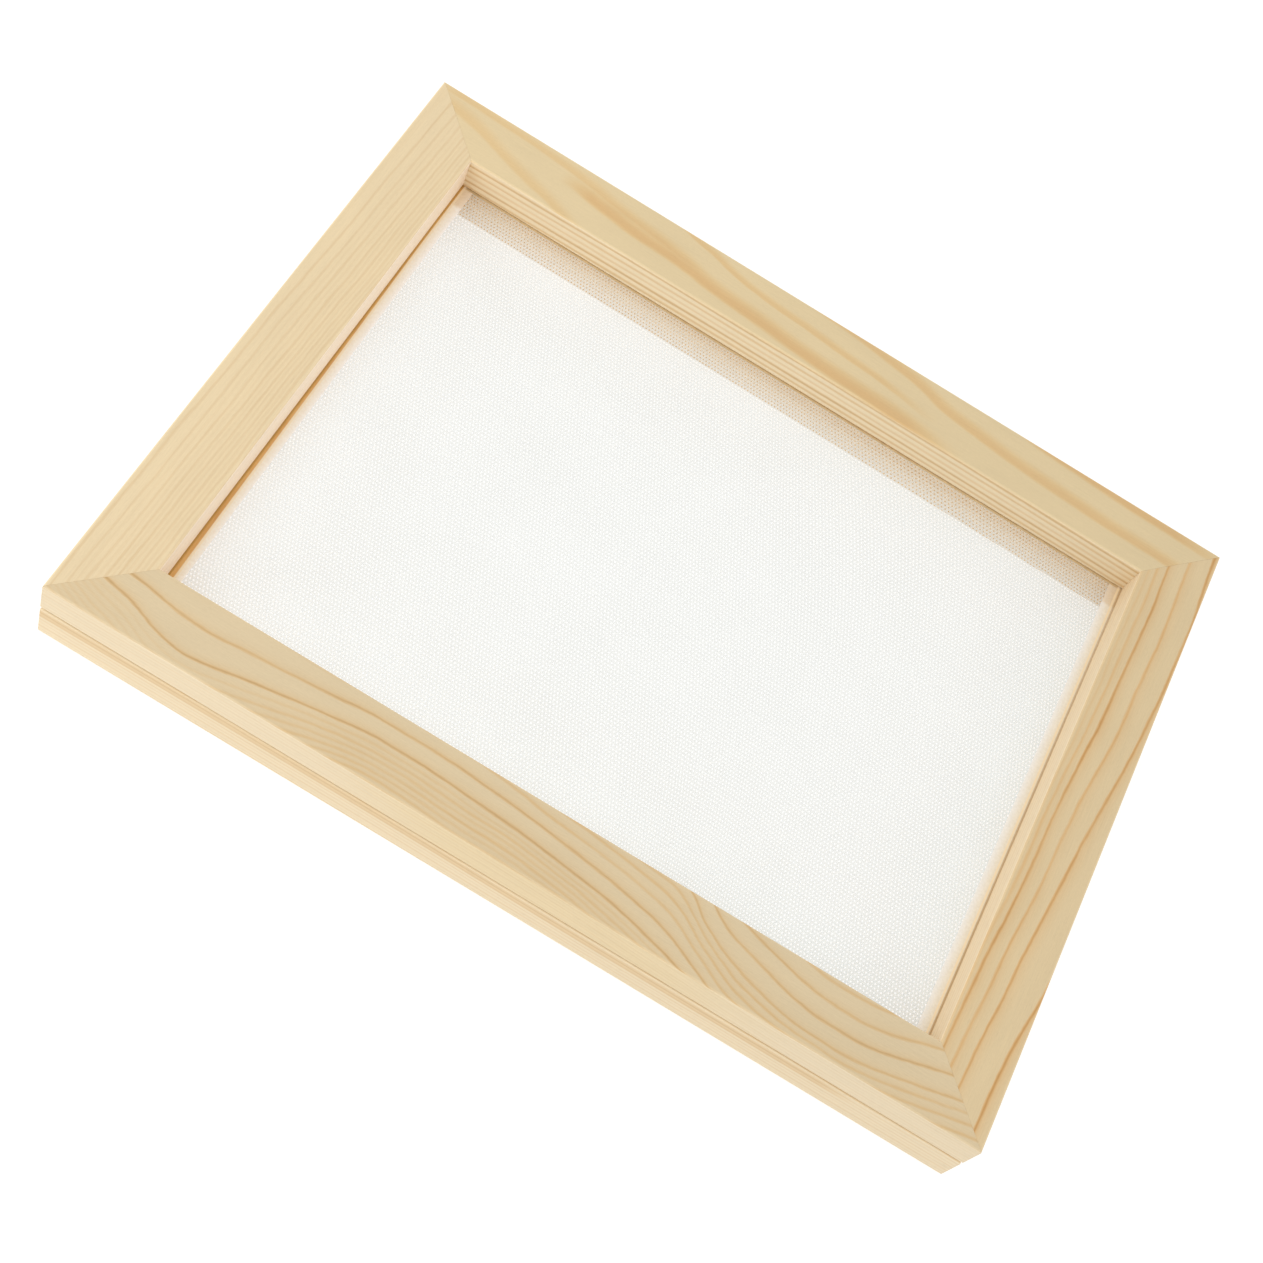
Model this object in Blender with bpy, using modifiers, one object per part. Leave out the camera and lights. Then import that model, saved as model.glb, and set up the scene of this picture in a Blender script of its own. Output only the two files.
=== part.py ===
"""Mould and deckle: two loose pine frames stacked flush, with a net stretched over the lower one.

The lower frame and its mesh are the mould. The upper, plain frame is the deckle, which lifts straight off.
+X runs along the long rails, +Y points to the far long rail and +Z points up. The origin is the centre of
the footprint, on the surface that the mould rests on.
"""
import math

import bmesh
import bpy
from mathutils import Matrix

MM = 0.001

# Driving dimensions of the two frames
LENGTH = 250.0 * MM
WIDTH = 190.0 * MM
RAIL_WIDTH = 19.0 * MM
MOULD_HEIGHT = 11.6 * MM
DECKLE_HEIGHT = 10.8 * MM
JOINT_SPACE = 0.6 * MM
EASED_EDGE = 0.5 * MM
EASED_EDGE_STEPS = 3
MITRE_GAP = 0.03 * MM

# The mesh, and the film of glue that shows along its edge inside the deckle
MESH_THICKNESS = 0.25 * MM
MESH_SET_BACK = 2.0 * MM
MESH_LIFT = 0.05 * MM
GLUE_THICKNESS = 0.12 * MM
GLUE_UNDER_DECKLE = 1.0 * MM
GLUE_WIDTH_LEFT = 3.5 * MM
GLUE_WIDTH_RIGHT = 3.7 * MM
GLUE_WIDTH_FAR = 0.4 * MM
GLUE_WIDTH_NEAR = 0.5 * MM

# V-nails: bent steel strips pressed up across each mitre
NAIL_LEG = 5.0 * MM
NAIL_STRIP = 0.6 * MM
NAIL_HEIGHT = 7.0 * MM
NAIL_SUNK = 0.4 * MM
NAIL_CLEARANCE = 0.3 * MM
NAIL_PLACES = {"outer": 5.0 * MM, "inner": 11.0 * MM}

DECKLE_BASE = MOULD_HEIGHT + JOINT_SPACE
OPENING_X = LENGTH / 2 - RAIL_WIDTH
OPENING_Y = WIDTH / 2 - RAIL_WIDTH

# Each side's turn about +Z from the near rail, its length and its distance from the centre
SIDES = {
    "near": (0.0, LENGTH, WIDTH / 2),
    "right": (90.0, WIDTH, LENGTH / 2),
    "far": (180.0, LENGTH, WIDTH / 2),
    "left": (270.0, WIDTH, LENGTH / 2),
}
CORNERS = {
    "near_left": (-1, -1),
    "near_right": (1, -1),
    "far_right": (1, 1),
    "far_left": (-1, 1),
}

PINE = (0.80, 0.62, 0.40, 1.0)
PINE_DARKER = (0.76, 0.57, 0.35, 1.0)
STEEL = (0.55, 0.56, 0.57, 1.0)
MESH_WHITE = (0.90, 0.90, 0.88, 1.0)
PALE_AMBER_GLUE = (0.80, 0.66, 0.46, 1.0)


def clear_scene():
    for old in list(bpy.data.objects):
        bpy.data.objects.remove(old, do_unlink=True)


def new_collection(name):
    collection = bpy.data.collections.new(name)
    bpy.context.scene.collection.children.link(collection)
    return collection


def add_object(name, mesh, collection, location=(0.0, 0.0, 0.0)):
    obj = bpy.data.objects.new(name, mesh)
    obj.location = location
    collection.objects.link(obj)
    return obj


def mesh_from(bm, name):
    bmesh.ops.recalc_face_normals(bm, faces=bm.faces)
    mesh = bpy.data.meshes.new(name)
    bm.to_mesh(mesh)
    bm.free()
    return mesh


def box_mesh(size):
    """A bmesh box of the given size, centred on its own origin."""
    bm = bmesh.new()
    bmesh.ops.create_cube(bm, size=1.0)
    bmesh.ops.scale(bm, vec=size, verts=bm.verts)
    return bm


def paint(obj, colour, roughness, metallic=0.0):
    material = bpy.data.materials.new(obj.name + "_material")
    material.use_nodes = True
    shader = material.node_tree.nodes["Principled BSDF"]
    shader.inputs["Base Color"].default_value = colour
    shader.inputs["Roughness"].default_value = roughness
    shader.inputs["Metallic"].default_value = metallic
    material.diffuse_color = colour
    obj.data.materials.append(material)


def subtract(obj, cutter):
    cut = obj.modifiers.new("cut", "BOOLEAN")
    cut.operation = "DIFFERENCE"
    cut.solver = "EXACT"
    cut.object = cutter


def hide_cutter(cutter):
    cutter.hide_render = True
    cutter.display_type = "WIRE"


def rail_mesh(name, length, height):
    """A straight rail along X with both ends mitred towards +Y, its long edges marked for easing."""
    bm = box_mesh((length - MITRE_GAP * math.sqrt(2), RAIL_WIDTH, height))
    for vert in bm.verts:
        if vert.co.y > 0:
            vert.co.x -= math.copysign(RAIL_WIDTH, vert.co.x)
    weight = bm.edges.layers.float.new("bevel_weight_edge")
    for edge in bm.edges:
        start, end = edge.verts
        if start.co.x * end.co.x < 0:
            edge[weight] = 1.0
    return mesh_from(bm, name)


def add_rail(name, side, base, height, slots, parent, collection):
    turn, length, offset = SIDES[side]
    rail = add_object(name, rail_mesh(name, length, height), collection)
    to_side = Matrix.Rotation(math.radians(turn), 4, "Z")
    place = Matrix.Translation((0.0, RAIL_WIDTH / 2 - offset, base + height / 2))
    rail.matrix_world = to_side @ place
    bpy.context.view_layer.update()
    if parent is not None:
        rail.parent = parent
        rail.matrix_parent_inverse = parent.matrix_world.inverted()
    ease = rail.modifiers.new("eased_edges", "BEVEL")
    ease.limit_method = "WEIGHT"
    ease.width = EASED_EDGE
    ease.segments = EASED_EDGE_STEPS
    subtract(rail, slots)
    return rail


def nail_path(bm, corner, inset, leg, bottom, top):
    """A folded strip of no thickness: one leg along each of the two rails that meet at a corner."""
    sign_x, sign_y = corner
    apex_x = sign_x * (LENGTH / 2 - inset)
    apex_y = sign_y * (WIDTH / 2 - inset)
    plan = (
        (apex_x - sign_x * leg, apex_y),
        (apex_x, apex_y),
        (apex_x, apex_y - sign_y * leg),
    )
    low = [bm.verts.new((x, y, bottom)) for x, y in plan]
    edges = [bm.edges.new(pair) for pair in zip(low, low[1:])]
    swept = bmesh.ops.extrude_edge_only(bm, edges=edges)["geom"]
    raised = [item for item in swept if isinstance(item, bmesh.types.BMVert)]
    bmesh.ops.translate(bm, verts=raised, vec=(0.0, 0.0, top - bottom))


def thicken(obj, thickness):
    solidify = obj.modifiers.new("thickness", "SOLIDIFY")
    solidify.thickness = thickness
    solidify.offset = 0.0
    solidify.use_even_offset = True


def add_nail_slots(name, base, collection):
    """All the V-nail slots of one frame, as one cutter that opens through its underside."""
    bm = bmesh.new()
    top = base + NAIL_SUNK + NAIL_HEIGHT + NAIL_CLEARANCE
    for corner in CORNERS.values():
        for inset in NAIL_PLACES.values():
            nail_path(bm, corner, inset, NAIL_LEG + NAIL_CLEARANCE, base - 1.0 * MM, top)
    cutter = add_object(name, mesh_from(bm, name), collection)
    thicken(cutter, NAIL_STRIP + 2 * NAIL_CLEARANCE)
    hide_cutter(cutter)
    return cutter


def add_nail(name, corner, inset, base, parent, collection):
    bm = bmesh.new()
    bottom = base + NAIL_SUNK
    nail_path(bm, corner, inset, NAIL_LEG, bottom, bottom + NAIL_HEIGHT)
    nail = add_object(name, mesh_from(bm, name), collection)
    thicken(nail, NAIL_STRIP)
    nail.parent = parent
    if parent is not None:
        nail.matrix_parent_inverse = parent.matrix_world.inverted()
    paint(nail, STEEL, 0.35, 1.0)
    return nail


def add_frame(frame_name, base, height, colour, parent, collection, cutters):
    """Four mitred rails and the V-nails that hold them together."""
    slots = add_nail_slots(frame_name + "_nail_slots", base, cutters)
    for side in SIDES:
        name = frame_name + "_rail_" + side
        rail = add_rail(name, side, base, height, slots, parent, collection)
        paint(rail, colour, 0.6)
    for corner_name, corner in CORNERS.items():
        for place_name, inset in NAIL_PLACES.items():
            name = frame_name + "_vnail_" + corner_name + "_" + place_name
            add_nail(name, corner, inset, base, parent, collection)


def add_screen_mesh(collection):
    size = (LENGTH - 2 * MESH_SET_BACK, WIDTH - 2 * MESH_SET_BACK, MESH_THICKNESS)
    centre = MOULD_HEIGHT + MESH_LIFT + MESH_THICKNESS / 2
    screen = add_object("screen_mesh", mesh_from(box_mesh(size), "screen_mesh"), collection, (0.0, 0.0, centre))
    paint(screen, MESH_WHITE, 0.55)
    return screen


def add_glue_line(collection, cutters):
    """The glue spread along the mesh's edge: a thin flat ring, broad at the left and right and narrow elsewhere."""
    centre = MOULD_HEIGHT + 2 * MESH_LIFT + MESH_THICKNESS + GLUE_THICKNESS / 2
    outer_size = (2 * (OPENING_X + GLUE_UNDER_DECKLE), 2 * (OPENING_Y + GLUE_UNDER_DECKLE), GLUE_THICKNESS)
    glue = add_object("mesh_glue_line", mesh_from(box_mesh(outer_size), "mesh_glue_line"), collection)
    glue.location = (0.0, 0.0, centre)
    bm = box_mesh((2 * OPENING_X, 2 * OPENING_Y, 4 * GLUE_THICKNESS))
    for vert in bm.verts:
        vert.co.x += GLUE_WIDTH_LEFT if vert.co.x < 0 else -GLUE_WIDTH_RIGHT
        vert.co.y += GLUE_WIDTH_NEAR if vert.co.y < 0 else -GLUE_WIDTH_FAR
    window = add_object("glue_window", mesh_from(bm, "glue_window"), cutters, (0.0, 0.0, centre))
    hide_cutter(window)
    subtract(glue, window)
    paint(glue, PALE_AMBER_GLUE, 0.3)
    return glue


def add_lift_axis(collection):
    """The empty that carries the deckle, on the vertical line along which it lifts off."""
    axis = add_object("deckle_lift_axis", None, collection, (0.0, 0.0, DECKLE_BASE))
    axis.empty_display_size = 20.0 * MM
    bpy.context.view_layer.update()
    return axis


def build():
    clear_scene()
    parts = new_collection("mould_and_deckle")
    cutters = new_collection("cutters")
    add_frame("mould", 0.0, MOULD_HEIGHT, PINE_DARKER, None, parts, cutters)
    add_screen_mesh(parts)
    add_glue_line(parts, cutters)
    lift_axis = add_lift_axis(parts)
    add_frame("deckle", DECKLE_BASE, DECKLE_HEIGHT, PINE, lift_axis, parts, cutters)


build()
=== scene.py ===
"""Looks of the mould and deckle: pine grain, the knitted screen, glue, V-nails, camera, light and floor.

Lengths inside the materials and the shape tables are in millimetres; objects are in metres.
"""

import math

import bpy
import numpy as np
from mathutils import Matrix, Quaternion, Vector


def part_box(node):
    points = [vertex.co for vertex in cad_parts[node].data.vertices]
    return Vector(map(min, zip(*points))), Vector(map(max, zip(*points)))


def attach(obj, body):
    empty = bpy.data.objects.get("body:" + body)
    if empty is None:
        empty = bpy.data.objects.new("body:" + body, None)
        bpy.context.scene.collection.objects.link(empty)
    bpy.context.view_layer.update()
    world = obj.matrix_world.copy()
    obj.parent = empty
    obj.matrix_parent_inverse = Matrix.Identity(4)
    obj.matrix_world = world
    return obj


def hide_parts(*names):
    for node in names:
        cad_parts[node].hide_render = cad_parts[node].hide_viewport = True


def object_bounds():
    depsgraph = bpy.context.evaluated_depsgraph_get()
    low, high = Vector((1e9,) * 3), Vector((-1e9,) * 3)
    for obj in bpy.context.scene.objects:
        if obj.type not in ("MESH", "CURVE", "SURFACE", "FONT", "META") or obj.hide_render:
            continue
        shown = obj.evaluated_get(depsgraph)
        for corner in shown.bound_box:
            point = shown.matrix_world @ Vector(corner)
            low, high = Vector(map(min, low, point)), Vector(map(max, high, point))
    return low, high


MM = 0.001

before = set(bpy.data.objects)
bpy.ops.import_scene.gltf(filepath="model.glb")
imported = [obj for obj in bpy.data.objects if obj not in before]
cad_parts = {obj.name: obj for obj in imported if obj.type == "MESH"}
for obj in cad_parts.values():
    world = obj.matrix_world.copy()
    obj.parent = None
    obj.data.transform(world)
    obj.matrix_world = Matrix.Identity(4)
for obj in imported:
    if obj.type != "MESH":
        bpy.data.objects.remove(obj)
cad_low, cad_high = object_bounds()

LENGTH = (cad_high.x - cad_low.x) / MM
WIDTH = (cad_high.y - cad_low.y) / MM
DECKLE_LOW, DECKLE_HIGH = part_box("deckle_rail_near")
MOULD_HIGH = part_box("mould_rail_near")[1]
RAIL_WIDTH = (DECKLE_HIGH.y - DECKLE_LOW.y) / MM
INNER_X = LENGTH / 2 - RAIL_WIDTH
INNER_Y = WIDTH / 2 - RAIL_WIDTH
TOP_OF = {"deckle": DECKLE_HIGH.z / MM, "mould": MOULD_HIGH.z / MM}
SIDES = ("near", "right", "far", "left")

# ---------------------------------------------------------------- colours


def srgb(red, green, blue):
    """A linear RGBA colour from the usual 0 to 255 values."""
    def linear(value):
        share = value / 255
        return share / 12.92 if share <= 0.04045 else ((share + 0.055) / 1.055) ** 2.4
    return (linear(red), linear(green), linear(blue), 1.0)


# ---------------------------------------------------------------- node building


class Nodes:
    """A material's node tree, with short ways to add the nodes that the materials here are made of."""

    def __init__(self, name):
        self.material = bpy.data.materials.new(name)
        self.material.use_nodes = True
        self.tree = self.material.node_tree
        self.shader = self.tree.nodes["Principled BSDF"]

    def put(self, socket, value):
        if isinstance(value, bpy.types.NodeSocket):
            self.tree.links.new(value, socket)
        else:
            socket.default_value = value

    def math(self, operation, *values, clamp=False):
        node = self.tree.nodes.new("ShaderNodeMath")
        node.operation = operation
        node.use_clamp = clamp
        for socket, value in zip(node.inputs, values):
            self.put(socket, value)
        return node.outputs[0]

    def add(self, *values):
        total = values[0]
        for value in values[1:]:
            total = self.math("ADD", total, value)
        return total

    def times(self, *values):
        product = values[0]
        for value in values[1:]:
            product = self.math("MULTIPLY", product, value)
        return product

    def fit(self, value, low, high, to_low=0.0, to_high=1.0, smooth=False):
        """value from low to high, as to_low to to_high, and no further."""
        node = self.tree.nodes.new("ShaderNodeMapRange")
        node.interpolation_type = "SMOOTHSTEP" if smooth else "LINEAR"
        for socket, number in zip(node.inputs, (value, low, high, to_low, to_high)):
            self.put(socket, number)
        return node.outputs[0]

    def curve(self, value, points, smooth=True):
        """value through a curve given by its points."""
        node = self.tree.nodes.new("ShaderNodeFloatCurve")
        mapping = node.mapping
        mapping.use_clip = False
        mapping.extend = "HORIZONTAL"
        line = mapping.curves[0]
        while len(line.points) < len(points):
            line.points.new(0.0, 0.0)
        for point, place in zip(line.points, sorted(points)):
            point.location = place
            point.handle_type = "AUTO" if smooth else "VECTOR"
        mapping.update()
        self.put(node.inputs["Value"], value)
        return node.outputs[0]

    def combine(self, x, y, z):
        node = self.tree.nodes.new("ShaderNodeCombineXYZ")
        for socket, value in zip(node.inputs, (x, y, z)):
            self.put(socket, value)
        return node.outputs[0]

    def noise(self, vector, scale=1.0, detail=2.0, roughness=0.5):
        """Noise from 0 to 1, near 0.5 on average."""
        node = self.tree.nodes.new("ShaderNodeTexNoise")
        self.put(node.inputs["Vector"], vector)
        node.inputs["Scale"].default_value = scale
        node.inputs["Detail"].default_value = detail
        node.inputs["Roughness"].default_value = roughness
        return node.outputs[0]

    def random(self, value):
        """A number from 0 to 1 that changes with each whole step of value."""
        node = self.tree.nodes.new("ShaderNodeTexWhiteNoise")
        node.noise_dimensions = "1D"
        self.put(node.inputs["W"], self.math("FLOOR", value))
        return node.outputs["Value"]

    def ramp(self, value, stops):
        node = self.tree.nodes.new("ShaderNodeValToRGB")
        elements = node.color_ramp.elements
        while len(elements) < len(stops):
            elements.new(1.0)
        for element, (position, colour) in zip(elements, stops):
            element.position = position
            element.color = colour
        self.put(node.inputs["Fac"], value)
        return node.outputs["Color"]

    def mix(self, factor, first, second, blend="MIX"):
        node = self.tree.nodes.new("ShaderNodeMix")
        node.data_type = "RGBA"
        node.blend_type = blend
        node.clamp_factor = True
        self.put(node.inputs["Factor"], factor)
        colours = [socket for socket in node.inputs if socket.type == "RGBA"]
        self.put(colours[0], first)
        self.put(colours[1], second)
        return [socket for socket in node.outputs if socket.type == "RGBA"][0]

    def bump(self, height, strength, distance):
        node = self.tree.nodes.new("ShaderNodeBump")
        node.inputs["Strength"].default_value = strength
        node.inputs["Distance"].default_value = distance
        self.put(node.inputs["Height"], height)
        return node.outputs["Normal"]

    def shine_through(self, share, colour):
        """Lets a share of the light from behind come through."""
        through = self.tree.nodes.new("ShaderNodeBsdfTranslucent")
        both = self.tree.nodes.new("ShaderNodeMixShader")
        both.inputs[0].default_value = share
        self.put(through.inputs["Color"], colour)
        self.tree.links.new(self.shader.outputs[0], both.inputs[1])
        self.tree.links.new(through.outputs[0], both.inputs[2])
        output = next(node for node in self.tree.nodes if node.type == "OUTPUT_MATERIAL")
        self.tree.links.new(both.outputs[0], output.inputs["Surface"])

    def place(self):
        """X, Y and Z in millimetres at rest, whatever the pose."""
        where = self.tree.nodes.new("ShaderNodeTexCoord")
        apart = self.tree.nodes.new("ShaderNodeSeparateXYZ")
        self.put(apart.inputs[0], where.outputs["Object"])
        return [self.times(socket, 1 / MM) for socket in apart.outputs]

    def upward(self):
        """How far a face looks up or down: 1 on level faces, 0 on upright ones."""
        geometry = self.tree.nodes.new("ShaderNodeNewGeometry")
        apart = self.tree.nodes.new("ShaderNodeSeparateXYZ")
        self.put(apart.inputs[0], geometry.outputs["Normal"])
        return self.math("ABSOLUTE", apart.outputs["Z"])


# ---------------------------------------------------------------- pine

# Growth rings on a rail's top face. Two guide lines, each a row of (along the rail, from its inner edge)
# points, give the rings their course: the ring count is 0 on the first and 1 on the second. `rings` lists the
# counts at which a ring ends, with the strength of its latewood line there, and `step_beyond` is the step of
# the rings after those. `faint_start` lists the rings that are faint where the rail begins: (the first, the
# last, how far along they stay faint, and the share of their strength that is left).
NEAR_RINGS = {
    "guide_0": (
        (0, -8), (16, -9), (38, -12.8), (62, -10), (88, -8.2), (107, -8), (125, -5), (150, -2), (161, 0),
        (171, 7), (179, 11), (188, 13.8), (196, 15.5), (208, 16.3), (217, 15.8), (230, 13.5), (250, 9),
    ),
    "guide_1": (
        (0, 7), (11, 9.8), (19, 11.5), (27, 14.3), (35, 15.6), (46, 14.2), (54, 12.9), (67, 10.8), (79, 9),
        (88, 8.8), (100, 9.2), (125, 10.8), (142, 13), (160, 17), (172, 21), (184, 27), (200, 29),
        (221, 29), (250, 25),
    ),
    "rings": (
        (-1.5, 0.0), (-1.1, 0.7), (-0.72, 0.85), (-0.36, 1.0), (0.0, 0.9), (0.16, 0.65), (0.32, 0.7),
        (0.5, 0.65), (0.73, 1.0), (1.0, 1.15), (1.1, 0.4), (1.19, 0.6), (1.28, 0.5), (1.37, 0.65),
        (1.46, 0.5), (1.55, 0.6), (1.64, 0.5),
    ),
    "step_beyond": 0.1,
    "faint_start": ((7, 7, 112, 0.1), (10, 40, 60, 0.5)),
}
RIGHT_RINGS = {
    "guide_0": (
        (0, 7.2), (11, 7.6), (25, 8.3), (42, 9.7), (58, 10.8), (75, 12.1), (95, 13.6), (112, 15.7),
        (128, 16.9), (150, 17.8), (190, 17.0),
    ),
    "guide_1": (
        (0, -0.3), (18, 0.5), (33, 1.2), (50, 1.7), (67, 2.8), (95, 3.5), (112, 4.9), (145, 5.8), (190, 6.0),
    ),
    "rings": ((-2.0, 0.4), (-1.0, 1.3), (0.0, 1.15), (0.53, 0.8), (1.0, 1.2), (1.22, 0.6), (1.4, 0.35)),
    "step_beyond": 0.2,
}
LEFT_RINGS = {
    "guide_0": ((0, 17.5), (50, 16.9), (95, 15.8), (140, 14.6), (190, 13)),
    "guide_1": ((0, 2), (50, 1.2), (95, 0.6), (140, -0.6), (190, -2)),
    "rings": (
        (-0.2, 0.4), (0.0, 0.6), (0.19, 0.5), (0.28, 0.2), (0.38, 0.55), (0.47, 0.25), (0.56, 0.6),
        (0.63, 0.3), (0.71, 0.6), (0.78, 0.35), (0.86, 0.55), (0.93, 0.35), (1.0, 0.6),
    ),
    "step_beyond": 0.09,
}
PLAIN_RINGS = {
    "guide_0": ((0, -3), (60, 1), (120, -4), (190, 0), (250, 3)),
    "guide_1": ((0, 18), (70, 14), (130, 17), (200, 12), (250, 16)),
    "rings": ((0.0, 0.6), (0.22, 0.7), (0.38, 0.4), (0.62, 0.8), (0.8, 0.5), (1.0, 0.7)),
    "step_beyond": 0.15,
}
RINGS_BEYOND = 14

# The far deckle rail has broad soft bands instead, each with its course as above.
FAR_BANDS = (
    {
        "course": ((0, 17.4), (17, 17.0), (33, 16.2), (50, 14.6), (58, 13), (71, 11.2), (86, 9.6)),
        "half_width": 1.9, "strength": 0.5,
    },
    {
        "course": ((0, 14), (10, 12), (17, 10.3), (25, 7.3), (33, 4.6), (42, 2), (50, -1), (60, -6)),
        "half_width": 2.4, "strength": 0.5,
    },
    {
        "course": (
            (45, 11.2), (58, 9.2), (67, 7.9), (83, 7), (92, 5.6), (108, 4), (125, 2.4), (150, 1), (170, -1),
        ),
        "half_width": 3.0, "strength": 1.0,
    },
    {
        "course": (
            (74, 20), (79, 18.4), (88, 16.4), (96, 14.2), (104, 12.9), (125, 11), (145, 9), (159, 6.5),
        ),
        "half_width": 1.5, "strength": 0.65,
    },
    {
        "course": (
            (110, 21), (125, 19), (142, 17.2), (154, 15.2), (162, 12.7), (175, 10.7), (192, 8.8), (208, 8),
            (250, 6.4),
        ),
        "half_width": 2.5, "strength": 0.8,
    },
    {
        "course": ((175, 21), (192, 19), (225, 17.4), (250, 16.4)),
        "half_width": 2.6, "strength": 1.0,
    },
)

# Colours of the upright faces: partly the side grain's own tone, partly painted light that makes them paler
# than the tops
WALL_COLOURS_PAINTED_PALER = ((0.0, srgb(240, 221, 187)), (0.5, srgb(229, 200, 154)), (1.0, srgb(206, 172, 124)))

# Per rail: the rings or bands, the widths in mm of a ring's dark line and of the glow before it, how far the
# rings move outwards per mm of depth, the top's colours without grain and at half and full grain, the tone at
# its two ends, on the top and on the upright faces (partly the wood's own tone, partly painted light
# falloff), the painted light and shade of the inner face, the fine grain of the upright faces, and a patch of
# another tint or a broad dark band along them
RAILS = {
    ("deckle", "near"): {
        "rings": NEAR_RINGS, "slant": 1.3, "line": 1.3, "glow": 3.6,
        "early": srgb(221, 200, 162), "middle": srgb(217, 185, 136), "late": srgb(192, 154, 102),
        "tones": (0.975, 0.97), "wall_tones": (1.0, 0.935),
        "wall_step": 1.5, "wall_strength": 0.22,
        "wall_course": ((0, 0), (110, 0.6), (140, -0.5), (165, -3.5), (190, -6), (215, -6.6), (250, -6)),
        "wall_patch": {"centre": 137, "half_length": 70, "tint": (0.97, 0.94, 0.84, 1.0)},
    },
    ("deckle", "right"): {
        "rings": RIGHT_RINGS, "slant": 0.8, "line": 1.3, "glow": 4.5,
        "early": srgb(221, 198, 156), "middle": srgb(219, 181, 128), "late": srgb(199, 150, 88),
        "tones": (1.0, 0.98), "inner": (1.0, 0.98, 0.97, 1.0),
        "wall_step": 1.7, "wall_strength": 0.3,
        "wall_course": ((0, 0), (60, 0.5), (120, 0.2), (190, 0.9)),
    },
    ("deckle", "far"): {
        "bands": FAR_BANDS,
        "early": srgb(225, 203, 160), "middle": srgb(223, 193, 142), "late": srgb(219, 182, 128),
        "tones": (1.03, 0.96),
        "wall_step": 2.05, "wall_strength": 1.0,
        "wall_course": ((0, -0.6), (50, 0.6), (125, 1.3), (200, 1.0), (250, 0.2)),
    },
    ("deckle", "left"): {
        "rings": LEFT_RINGS, "slant": 0.7, "line": 1.0, "glow": 1.3,
        "early": srgb(233, 211, 171), "middle": srgb(221, 192, 147), "late": srgb(203, 169, 119),
        "tones": (0.975, 1.0), "inner": (1.16, 1.17, 1.34, 1.0),
        "wall_step": 1.6, "wall_strength": 0.3,
        "wall_course": ((0, 0), (95, 0.4), (190, 0.1)),
    },
}
MOULD_STYLE = {
    "rings": PLAIN_RINGS, "slant": 1.6, "line": 0.8, "glow": 2.4,
    "early": srgb(228, 206, 167), "middle": srgb(226, 193, 143), "late": srgb(208, 169, 119),
    "tones": (1.0, 0.98), "wall_tones": (1.0, 0.95), "inner": (0.9, 0.79, 0.68, 1.0),
    "wall_step": 1.6, "wall_strength": 0.35,
    "wall_course": ((0, 0), (80, 0.7), (150, -0.2), (250, 0.5)),
    "wall_band": {"centre": 2.3, "half_width": 2.0, "strength": 0.45, "begins_to_fade": 212, "gone": 222},
}
WHITE = (1.0, 1.0, 1.0, 1.0)


def rail_axes(nodes, frame_name, side):
    """Distance along the rail, from its inner edge and below its top, in millimetres."""
    x, y, z = nodes.place()
    if side in ("near", "far"):
        along = nodes.add(x, LENGTH / 2)
        across = nodes.add(nodes.times(y, 1.0 if side == "far" else -1.0), -INNER_Y)
    else:
        along = nodes.add(y, WIDTH / 2)
        across = nodes.add(nodes.times(x, 1.0 if side == "right" else -1.0), -INNER_X)
    depth = nodes.math("SUBTRACT", TOP_OF[frame_name], z)
    return along, across, depth


def ring_grain(nodes, along, across, style, wobble):
    """Darkness of rings along two guide lines: a thin line where each ends, and a soft glow before it."""
    rings = style["rings"]
    start = nodes.curve(along, rings["guide_0"])
    end = nodes.curve(along, rings["guide_1"])
    gap = nodes.math("SUBTRACT", end, start)
    measure = nodes.math("DIVIDE", nodes.math("SUBTRACT", nodes.add(across, wobble), start), gap)
    ends = [place for place, strength in rings["rings"]]
    strengths = [strength for place, strength in rings["rings"]]
    usual = sum(strengths) / len(strengths)
    for _ in range(RINGS_BEYOND):
        ends.append(ends[-1] + rings["step_beyond"])
        strengths.append(usual * (0.6 if len(ends) % 2 else 0.9))
    widths = [ends[1] - ends[0]] + [end - before for before, end in zip(ends, ends[1:])]
    count = nodes.curve(measure, [(place, number) for number, place in enumerate(ends)], smooth=False)
    ring = nodes.math("CEIL", count)
    strength = nodes.curve(ring, list(enumerate(strengths)), smooth=False)
    share_of_gap = nodes.curve(ring, list(enumerate(widths)), smooth=False)
    width = nodes.times(share_of_gap, nodes.math("ABSOLUTE", gap))
    to_end = nodes.times(nodes.math("SUBTRACT", ring, count), width)
    line = nodes.fit(to_end, style["line"], 0.25 * style["line"], smooth=True)
    sharp_side = nodes.fit(to_end, 0.0, 0.6, 0.15, 1.0)
    glow = nodes.math("POWER", nodes.fit(to_end, style["glow"], 0.0), 2.0)
    drift = nodes.noise(nodes.combine(nodes.times(along, 0.03), ring, 0.0))
    uneven = nodes.fit(drift, 0.3, 0.7, 0.75, 1.2)
    dark = nodes.times(nodes.add(nodes.times(line, 0.55), nodes.times(glow, 0.45)), sharp_side)
    for first_ring, last_ring, reach, share in rings.get("faint_start", ()):
        past_first = nodes.math("GREATER_THAN", ring, first_ring - 0.5)
        before_last = nodes.math("LESS_THAN", ring, last_ring + 0.5)
        faint = nodes.times(past_first, before_last, nodes.fit(along, reach, 0.4 * reach))
        dark = nodes.times(dark, nodes.fit(faint, 0.0, 1.0, 1.0, share))
    return nodes.times(dark, strength, uneven)


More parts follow.
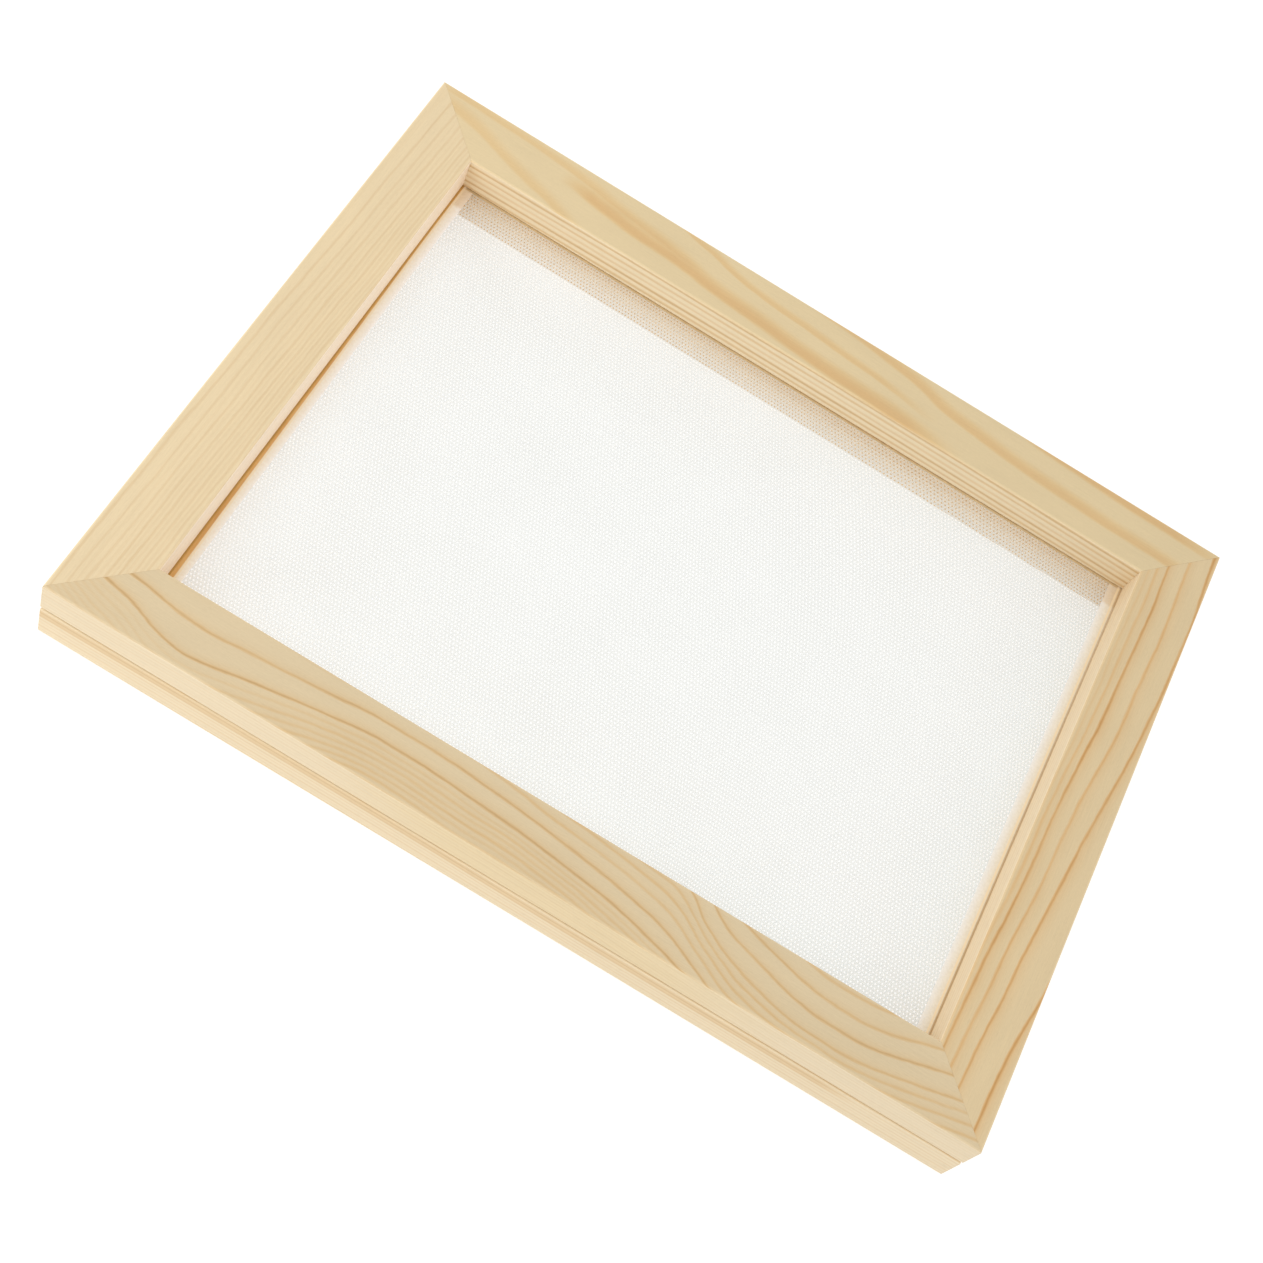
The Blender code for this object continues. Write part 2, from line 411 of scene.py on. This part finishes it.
def band_grain(nodes, along, across, bands, wobble):
    """Darkness of broad bands, each along its own course, firm on its inner side and soft on the other."""
    total = 0.0
    for band in bands:
        first = band["course"][0][0]
        last = band["course"][-1][0]
        half_width = band["half_width"]
        centre = nodes.curve(along, band["course"])
        past = nodes.math("SUBTRACT", nodes.add(across, wobble), centre)
        inner_side = nodes.fit(past, -0.7 * half_width, -0.1 * half_width, smooth=True)
        outer_side = nodes.fit(past, 1.7 * half_width, 0.1 * half_width, smooth=True)
        dark = nodes.times(inner_side, outer_side, band["strength"])
        begins = nodes.fit(along, first - 4, first + 6)
        ends = nodes.fit(along, last - 14, last + 4, 1.0, 0.0)
        total = nodes.add(total, nodes.times(dark, begins, ends))
    return total


def wall_grain(nodes, along, depth, style, wobble):
    """Darkness of the fine, nearly straight grain on an upright face."""
    course = nodes.curve(along, style["wall_course"])
    count = nodes.times(nodes.add(depth, course, 20.0, nodes.times(wobble, 0.4)), 1 / style["wall_step"])
    part = nodes.math("FRACT", count)
    rising = nodes.fit(part, 0.3, 0.75, smooth=True)
    falling = nodes.fit(part, 0.8, 1.0, 1.0, 0.0)
    uneven = nodes.fit(nodes.random(count), 0.0, 1.0, 0.35, 1.0)
    grain = nodes.times(rising, falling, uneven, style["wall_strength"])
    if "wall_band" in style:
        grain = nodes.add(grain, wall_band(nodes, along, nodes.add(depth, course), style["wall_band"]))
    return grain


def wall_band(nodes, along, depth, band):
    """Darkness of one broad band along an upright face, which fades out towards the rail's end."""
    off = nodes.math("ABSOLUTE", nodes.math("SUBTRACT", depth, band["centre"]))
    dark = nodes.fit(off, band["half_width"], 0.5 * band["half_width"], 0.0, band["strength"], smooth=True)
    return nodes.times(dark, nodes.fit(along, band["begins_to_fade"], band["gone"], 1.0, 0.0))


def wall_patch(nodes, along, wobble, patch):
    """1 in the middle of a patch along an upright face, and 0 past its ends."""
    wavy = nodes.add(along, nodes.times(wobble, 20.0))
    off = nodes.math("ABSOLUTE", nodes.math("SUBTRACT", wavy, patch["centre"]))
    return nodes.fit(off, patch["half_length"], 0.3 * patch["half_length"], smooth=True)


def pine_fibres(nodes, along, across, depth, seeded):
    """The fine detail on every face: long fibres, fine speckle and short dark flecks, each from 0 to 1."""
    long = nodes.combine(nodes.times(along, 0.09), nodes.times(across, 5.0), nodes.times(depth, 5.0))
    fibre = nodes.noise(long, detail=3.0, roughness=0.6)
    short = nodes.combine(nodes.times(along, 0.9), nodes.times(across, 3.0), nodes.times(depth, 3.0))
    speckle = nodes.noise(short, detail=2.0, roughness=0.7)
    sparse = nodes.combine(nodes.times(along, 0.35), nodes.times(across, 3.2), seeded)
    fleck = nodes.fit(nodes.noise(sparse, detail=1.0), 0.68, 0.78)
    return fibre, speckle, fleck


def pine_tone_and_painted_falloff(nodes, along, side, style, upright):
    """How the colour drifts from one end of the rail to the other: partly the wood's own tone, partly painted
    light falloff.
    """
    rail_length = LENGTH if side in ("near", "far") else WIDTH
    tone = nodes.fit(along, 0.0, rail_length, *style["tones"])
    wall_tone = nodes.fit(along, 0.0, rail_length, *style.get("wall_tones", (1.0, 1.0)))
    return nodes.times(tone, nodes.fit(upright, 0.0, 1.0, 1.0, wall_tone))


def pine(frame_name, side):
    style = RAILS.get((frame_name, side), MOULD_STYLE)
    nodes = Nodes(f"{frame_name}_pine_{side}")
    along, across, depth = rail_axes(nodes, frame_name, side)
    seeded = nodes.add(depth, 10.0 * SIDES.index(side) + (5.0 if frame_name == "mould" else 0.0))
    slow = nodes.noise(nodes.combine(nodes.times(along, 0.035), nodes.times(across, 0.12), seeded))
    fine = nodes.noise(nodes.combine(nodes.times(along, 0.3), nodes.times(across, 0.9), seeded))
    wobble = nodes.add(nodes.fit(slow, 0.2, 0.8, -0.5, 0.5), nodes.fit(fine, 0.2, 0.8, -0.12, 0.12))
    fibre, speckle, fleck = pine_fibres(nodes, along, across, depth, seeded)

    upward = nodes.upward()
    flat_face = nodes.fit(upward, 0.45, 0.75)
    upright = nodes.math("SUBTRACT", 1.0, flat_face)
    eased_edge = nodes.times(nodes.fit(upward, 0.05, 0.2), nodes.fit(upward, 0.995, 0.97))
    inner_face = nodes.times(nodes.fit(across, 0.6, 0.2), upright)

    if "bands" in style:
        top = band_grain(nodes, along, across, style["bands"], wobble)
    else:
        slanted = nodes.add(across, nodes.times(depth, style["slant"]))
        top = ring_grain(nodes, along, slanted, style, wobble)
    wall = wall_grain(nodes, along, depth, style, wobble)
    grain = nodes.add(nodes.times(top, flat_face), nodes.times(wall, upright))

    top_colour = nodes.ramp(grain, ((0.0, style["early"]), (0.5, style["middle"]), (1.0, style["late"])))
    colour = nodes.mix(flat_face, nodes.ramp(grain, WALL_COLOURS_PAINTED_PALER), top_colour)
    drift = nodes.fit(slow, 0.25, 0.75, 0.975, 1.02)
    streak = nodes.fit(fibre, 0.2, 0.8, 0.94, 1.05)
    mottle = nodes.fit(speckle, 0.2, 0.8, 0.96, 1.035)
    flecked = nodes.fit(fleck, 0.0, 1.0, 1.0, 0.94)
    # Painted highlight: the eased edges are painted 7% paler
    painted_edge_highlight = nodes.fit(eased_edge, 0.0, 1.0, 1.0, 1.07)
    # Partly the wood's own tone, partly painted light falloff along the rail
    tone_and_painted_falloff = pine_tone_and_painted_falloff(nodes, along, side, style, upright)
    shade = nodes.times(drift, streak, mottle, tone_and_painted_falloff, flecked, painted_edge_highlight)
    colour = nodes.mix(1.0, colour, nodes.combine(shade, shade, shade), "MULTIPLY")
    # Painted light and shade on the inner faces: painted lighter on the left deckle rail, painted darker and
    # warmer on the mould
    if "inner" in style:
        colour = nodes.mix(inner_face, colour, style["inner"], "MULTIPLY")
    if "wall_patch" in style:
        patch = nodes.times(wall_patch(nodes, along, wobble, style["wall_patch"]), upright)
        colour = nodes.mix(patch, colour, style["wall_patch"]["tint"], "MULTIPLY")
    nodes.put(nodes.shader.inputs["Base Color"], colour)

    smoother = nodes.fit(grain, 0.0, 1.0, 0.62, 0.48)
    nodes.put(nodes.shader.inputs["Roughness"], nodes.add(smoother, nodes.fit(fibre, 0.2, 0.8, -0.05, 0.05)))
    nodes.shader.inputs["Specular IOR Level"].default_value = 0.35
    height = nodes.add(nodes.times(fibre, 0.5), nodes.times(grain, 0.35), nodes.times(fleck, -0.5))
    nodes.put(nodes.shader.inputs["Normal"], nodes.bump(height, 0.35, 0.06 * MM))
    return nodes.material


# ---------------------------------------------------------------- screen, glue and nails

# The net: the steps between its openings, an opening's width as a share of its cell's, how far the middle
# hangs, how far a cell's corners stand up and down, and the least cloth past the outermost openings' middles
NET_STEP_X = 0.952
NET_STEP_Y = 1.087
NET_HOLE = 0.4
NET_SAG = 0.1
NET_KNOT = 0.03
NET_MARGIN_X = 0.6
NET_MARGIN_Y = 0.7

# How the net is pulled askew: its columns lean from SKEW_BEGINS on, and its rows turn from ROWS_TURN_FROM on
SKEW_BEGINS = 10.0
SKEW_GROWS_OVER = 60.0
COLUMN_SKEW = 0.14
ROWS_TURN_FROM = 40.0
ROW_TURN = 0.08


def painted_light_tint(nodes, x, y):
    """The net's tint with painted light: 1 in the middle, painted whiter near the walls against their shade,
    most on the left, and painted warm shade by the far wall.
    """
    to_side = nodes.math("SUBTRACT", INNER_X, nodes.math("ABSOLUTE", x))
    to_end = nodes.math("SUBTRACT", INNER_Y, nodes.math("ABSOLUTE", y))
    to_wall = nodes.math("MINIMUM", to_side, to_end)
    # Painted light: lifts the net near the walls, where their shade falls
    edge = nodes.math("POWER", nodes.fit(to_wall, 30.0, 3.0), 2.0)
    edge = nodes.times(edge, nodes.fit(y, INNER_Y - 3.0, INNER_Y - 12.0))
    painted_lift_by_walls = nodes.mix(nodes.fit(x, -90.0, 90.0), (1.15, 1.19, 1.24, 1.0), (1.03, 1.10, 1.15, 1.0))
    tint = nodes.mix(edge, WHITE, painted_lift_by_walls)
    # Painted shade: the net is painted warmer and darker next to the far wall
    by_far_wall = nodes.fit(y, INNER_Y - 8.0, INNER_Y - 1.0)
    return nodes.mix(by_far_wall, tint, (1.0, 0.955, 0.88, 1.0), "MULTIPLY")


def screen_material():
    nodes = Nodes("screen_polyester")
    x, y, _ = nodes.place()
    thread = nodes.noise(nodes.combine(nodes.times(x, 6.0), nodes.times(y, 6.0), 0.0), detail=3.0)
    patch = nodes.noise(nodes.combine(nodes.times(x, 0.05), nodes.times(y, 0.05), 3.0))
    tone = nodes.add(nodes.fit(thread, 0.2, 0.8, 0.0, 0.6), nodes.fit(patch, 0.3, 0.7, 0.0, 0.4))
    colour = nodes.ramp(tone, ((0.0, srgb(230, 231, 227)), (1.0, srgb(238, 239, 236))))
    # Painted light near the walls and painted shade by the far wall
    colour = nodes.mix(1.0, colour, painted_light_tint(nodes, x, y), "MULTIPLY")
    nodes.put(nodes.shader.inputs["Base Color"], colour)
    nodes.put(nodes.shader.inputs["Alpha"], nodes.fit(thread, 0.3, 0.7, 0.57, 0.65))
    nodes.put(nodes.shader.inputs["Roughness"], nodes.fit(thread, 0.2, 0.8, 0.4, 0.6))
    nodes.put(nodes.shader.inputs["Normal"], nodes.bump(thread, 0.4, 0.05 * MM))
    nodes.shine_through(0.45, colour)
    return nodes.material


def net_cells(width, length):
    """Row numbers and places of the net's openings: every second row is shifted by half a step."""
    most_rows = int(0.6 * length / NET_STEP_Y)
    most_columns = int(0.6 * width / NET_STEP_X)
    rows = np.arange(-most_rows, most_rows + 1)
    columns = np.arange(-most_columns, most_columns + 1)
    column, row = np.meshgrid(columns, rows)
    return row, NET_STEP_X * (column + 0.5 * (row % 2)), NET_STEP_Y * row


def pull(x, y):
    """Moves a point as the net is: glued down a little askew on its right-hand third."""
    reach = np.clip((x - SKEW_BEGINS) / SKEW_GROWS_OVER, 0.0, 1.0)
    share = reach * reach * (3 - 2 * reach)
    past = np.clip(x - ROWS_TURN_FROM, 0.0, None)
    return x + COLUMN_SKEW * y * share, y - ROW_TURN * past


def net_mesh(name, width, length, height):
    """A knitted net: hexagonal openings in a staggered grid, with the cloth left between them."""
    row, x, y = net_cells(width, length)
    side_x = 0.5 * NET_STEP_X
    tip_y = (side_x ** 2 + NET_STEP_Y ** 2) / (2 * NET_STEP_Y)
    side_y = tip_y - side_x ** 2 / NET_STEP_Y
    hexagon = NET_HOLE * np.array([
        (side_x, -side_y), (side_x, side_y), (0, tip_y), (-side_x, side_y), (-side_x, -side_y), (0, -tip_y),
    ])
    corner_x, corner_y = pull(x[..., None] + hexagon[:, 0], y[..., None] + hexagon[:, 1])
    middle_x, middle_y = pull(x, y)
    kept = (np.abs(middle_x) < width / 2 - NET_MARGIN_X) & (np.abs(middle_y) < length / 2 - NET_MARGIN_Y)
    sag_x = np.clip(1 - (corner_x / INNER_X) ** 2, 0, 1)
    sag_y = np.clip(1 - (corner_y / INNER_Y) ** 2, 0, 1)
    sag = NET_SAG * sag_x * sag_y
    knots = np.array([1.0, -1.0, 1.0, -1.0, 1.0, -1.0]) * NET_KNOT
    corner_z = height - sag + knots
    points = np.stack([corner_x, corner_y, corner_z], axis=-1)

    first = np.arange(row.size).reshape(row.shape) * 6
    odd = (row % 2).astype(bool)

    def beside(across, up):
        """First corner number and presence of the neighbour that many columns and rows away."""
        return np.roll(first, (-up, -across), (0, 1)), np.roll(kept, (-up, -across), (0, 1))

    right, has_right = beside(1, 0)
    up_here, has_up_here = beside(0, 1)
    up_right, has_up_right = beside(1, 1)
    up_left, has_up_left = beside(-1, 1)
    up_east = np.where(odd, up_right, up_here)
    has_up_east = np.where(odd, has_up_right, has_up_here)
    up_west = np.where(odd, up_here, up_left)
    has_up_west = np.where(odd, has_up_here, has_up_left)

    def faces(present, *corners):
        return np.stack([corner[present] for corner in corners], axis=-1)

    quads = np.concatenate([
        faces(kept & has_right, first, right + 4, right + 3, first + 1),
        faces(kept & has_up_east, first + 1, up_east + 5, up_east + 4, first + 2),
        faces(kept & has_up_west, first + 2, up_west, up_west + 5, first + 3),
    ])
    triangles = np.concatenate([
        faces(kept & has_right & has_up_east, first + 1, right + 3, up_east + 5),
        faces(kept & has_up_east & has_up_west, first + 2, up_east + 4, up_west),
    ])
    used = np.zeros(points.reshape(-1, 3).shape[0], bool)
    used[quads.ravel()] = True
    used[triangles.ravel()] = True
    number = np.cumsum(used) - 1
    mesh = bpy.data.meshes.new(name)
    vertices = points.reshape(-1, 3)[used] * MM
    mesh.from_pydata(vertices.tolist(), [], number[quads].tolist() + number[triangles].tolist())
    mesh.shade_smooth()
    return mesh


def add_screen():
    low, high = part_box("screen_mesh")
    size = (high - low) / MM
    height = (low.z + high.z) / 2 / MM
    screen = add_to_scene("knitted_screen", net_mesh("knitted_screen", size.x, size.y, height))
    set_material(screen, screen_material())
    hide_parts("screen_mesh")
    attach(screen, "mould")


# The glue's zones, in mm from the wall of the opening inwards: the painted shade line, the amber band at its
# two ends, the middle of the lip's painted highlight, where the film thins, and the far glue with its painted
# shade; and the length along Y of the far corners, which are darker and warmer
SHADE_LINE_WIDTH = 0.55
AMBER_WIDTH_NEAR = 1.45
AMBER_WIDTH_FAR = 0.35
LIP_HIGHLIGHT_MIDDLE = 0.3
FILM_THINS_FROM = 1.0
FILM_THINNEST_AT = 2.8
FAR_GLUE_WIDTH = 0.5
FAR_CORNER_LENGTH = 7.1


def glue_material():
    """Glue from the wall inwards: a painted shade line, an amber band at the left, a painted highlight on the
    lip, a film on the net painted lighter on the left, and darker glue with painted shade along the far
    wall's foot.
    """
    nodes = Nodes("amber_glue")
    x, y, z = nodes.place()
    flow = nodes.noise(nodes.combine(nodes.times(x, 0.5), nodes.times(y, 0.12), z), detail=3.0)
    weave = nodes.noise(nodes.combine(nodes.times(x, 1.3), nodes.times(y, 1.3), z), detail=1.0)
    to_wall = nodes.math("SUBTRACT", INNER_X, nodes.math("ABSOLUTE", x))
    on_left = nodes.math("LESS_THAN", x, 0.0)
    amber_width = nodes.fit(y, -INNER_Y, INNER_Y, AMBER_WIDTH_NEAR, AMBER_WIDTH_FAR)
    line_width = nodes.math("MAXIMUM", nodes.times(on_left, amber_width), SHADE_LINE_WIDTH)
    past_line = nodes.math("SUBTRACT", to_wall, line_width)

    film = nodes.ramp(weave, ((0.3, srgb(237, 229, 211)), (0.7, srgb(245, 238, 223))))
    thin_film = nodes.ramp(weave, ((0.3, srgb(243, 241, 236)), (0.7, srgb(250, 248, 245))))
    colour = nodes.mix(nodes.fit(past_line, FILM_THINS_FROM, FILM_THINNEST_AT), film, thin_film)
    # Painted light: the film is painted lighter on the left, against the left rail's shade
    colour = nodes.mix(on_left, colour, (1.14, 1.125, 1.12, 1.0), "MULTIPLY")
    # Darker and warmer near the far wall's corners
    darker_far_corner = nodes.fit(y, INNER_Y - FAR_CORNER_LENGTH - 0.5, INNER_Y - FAR_CORNER_LENGTH + 0.5)
    colour = nodes.mix(darker_far_corner, colour, (0.88, 0.79, 0.68, 1.0), "MULTIPLY")
    # Painted highlight: a pale line along the lip
    lip_highlight = nodes.fit(nodes.math("ABSOLUTE", nodes.math("SUBTRACT", past_line, LIP_HIGHLIGHT_MIDDLE)), 0.4, 0.2)
    lip_highlight_colour = nodes.mix(on_left, srgb(249, 230, 194), srgb(255, 237, 202))
    colour = nodes.mix(nodes.times(lip_highlight, 0.85), colour, lip_highlight_colour)
    amber = nodes.ramp(flow, (
        (0.25, srgb(214, 160, 92)),
        (0.5, srgb(227, 175, 103)),
        (0.8, srgb(237, 194, 124)),
    ))
    colour = nodes.mix(nodes.times(nodes.fit(past_line, 0.1, -0.1), on_left), colour, amber)
    # Painted shade: a dark olive line along the wall's foot, where the joint's shadow falls
    painted_shade_line = nodes.times(nodes.fit(to_wall, 0.5, 0.3), nodes.fit(y, -INNER_Y, INNER_Y, 0.7, 0.5))
    colour = nodes.mix(painted_shade_line, colour, srgb(190, 146, 60))
    # Partly glue, partly painted shade: a darker tan band along the foot of the far wall
    far_glue_and_shade = nodes.ramp(flow, ((0.3, srgb(208, 180, 134)), (0.7, srgb(222, 196, 152))))
    by_far_wall = nodes.fit(y, INNER_Y - FAR_GLUE_WIDTH - 0.1, INNER_Y - FAR_GLUE_WIDTH + 0.1)
    on_far = nodes.times(by_far_wall, nodes.fit(to_wall, 1.0, 1.6))
    colour = nodes.mix(on_far, colour, far_glue_and_shade)
    nodes.put(nodes.shader.inputs["Base Color"], colour)
    nodes.put(nodes.shader.inputs["Roughness"], nodes.fit(flow, 0.2, 0.8, 0.3, 0.5))
    nodes.put(nodes.shader.inputs["Normal"], nodes.bump(nodes.add(flow, weave), 0.4, 0.08 * MM))
    return nodes.material


def steel_material():
    nodes = Nodes("nail_steel")
    x, y, z = nodes.place()
    stretched = nodes.combine(nodes.times(x, 0.6), nodes.times(y, 0.6), nodes.times(z, 9.0))
    brushed = nodes.noise(stretched, detail=3.0)
    colour = nodes.ramp(brushed, ((0.3, srgb(150, 150, 148)), (0.7, srgb(196, 197, 198))))
    nodes.put(nodes.shader.inputs["Base Color"], colour)
    nodes.shader.inputs["Metallic"].default_value = 1.0
    nodes.put(nodes.shader.inputs["Roughness"], nodes.fit(brushed, 0.2, 0.8, 0.28, 0.5))
    nodes.put(nodes.shader.inputs["Normal"], nodes.bump(brushed, 0.3, 0.02 * MM))
    return nodes.material


# ---------------------------------------------------------------- camera, light and floor

VIEW_TARGET = Vector((-4.5, -17.3, 11.5)) * MM
VIEW_AZIMUTH = -2.67
VIEW_ELEVATION = 58.69
VIEW_DISTANCE = 529.3 * MM
VIEW_ROLL = 33.57
LENS = 60.0
SKY_STRENGTH = 0.805
FLOOR_HALF = 1.5
FLOOR_DROP = 0.0002


def direction(azimuth, elevation):
    """Unit vector from the object towards a viewer: azimuth 0 is the near side, 90 the right."""
    turn = math.radians(azimuth)
    rise = math.radians(elevation)
    return Vector((math.sin(turn) * math.cos(rise), -math.cos(turn) * math.cos(rise), math.sin(rise)))


def add_to_scene(name, data):
    obj = bpy.data.objects.new(name, data)
    bpy.context.scene.collection.objects.link(obj)
    return obj


def add_camera():
    data = bpy.data.cameras.new("camera")
    data.lens = LENS
    data.clip_start = 0.01
    camera = add_to_scene("camera", data)
    back = direction(VIEW_AZIMUTH, VIEW_ELEVATION)
    camera.location = VIEW_TARGET + back * VIEW_DISTANCE
    camera.rotation_mode = "QUATERNION"
    level = (-back).to_track_quat("-Z", "Y")
    camera.rotation_quaternion = level @ Quaternion((0, 0, 1), math.radians(VIEW_ROLL))
    bpy.context.scene.camera = camera


def add_softbox(name, azimuth, elevation, distance, size, power):
    data = bpy.data.lights.new(name, "AREA")
    data.shape = "SQUARE"
    data.size = size
    data.energy = power
    light = add_to_scene(name, data)
    towards = direction(azimuth, elevation)
    light.location = towards * distance
    light.rotation_mode = "QUATERNION"
    light.rotation_quaternion = (-towards).to_track_quat("-Z", "Y")


def add_sky(strength):
    world = bpy.data.worlds.new("studio")
    world.use_nodes = True
    world.node_tree.nodes["Background"].inputs["Color"].default_value = (1.0, 1.0, 1.0, 1.0)
    world.node_tree.nodes["Background"].inputs["Strength"].default_value = strength
    bpy.context.scene.world = world


def add_floor():
    data = bpy.data.meshes.new("studio_floor")
    corners = [(FLOOR_HALF * x, FLOOR_HALF * y, 0.0) for x, y in ((-1, -1), (1, -1), (1, 1), (-1, 1))]
    data.from_pydata(corners, [], [(0, 1, 2, 3)])
    floor = add_to_scene("studio_floor", data)
    nodes = Nodes("studio_floor")
    nodes.shader.inputs["Base Color"].default_value = (0.4, 0.4, 0.4, 1.0)
    nodes.shader.inputs["Roughness"].default_value = 0.9
    nodes.shader.inputs["Emission Color"].default_value = (1.0, 1.0, 1.0, 1.0)
    nodes.shader.inputs["Emission Strength"].default_value = 0.7
    data.materials.append(nodes.material)
    floor.location.z = -FLOOR_DROP


def set_up_studio():
    bpy.context.scene.view_settings.view_transform = "Standard"
    add_camera()
    add_sky(SKY_STRENGTH)
    add_softbox("key", -60.0, 45.0, 0.8, 0.6, 1.9)
    add_softbox("fill", 90.0, 15.0, 0.8, 0.5, 0.75)
    add_floor()


# ---------------------------------------------------------------- pieces


def set_material(obj, material):
    """Gives every slot of the object this material, and makes a slot if it has none."""
    if not obj.material_slots:
        obj.data.materials.append(material)
    for slot in obj.material_slots:
        slot.link = "OBJECT"
        slot.material = material


def finish_cad_parts():
    for frame_name in TOP_OF:
        for side in SIDES:
            set_material(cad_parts[f"{frame_name}_rail_{side}"], pine(frame_name, side))
    steel = steel_material()
    for name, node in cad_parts.items():
        if "vnail" in name:
            set_material(node, steel)
    set_material(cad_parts["mesh_glue_line"], glue_material())


set_up_studio()
finish_cad_parts()
add_screen()
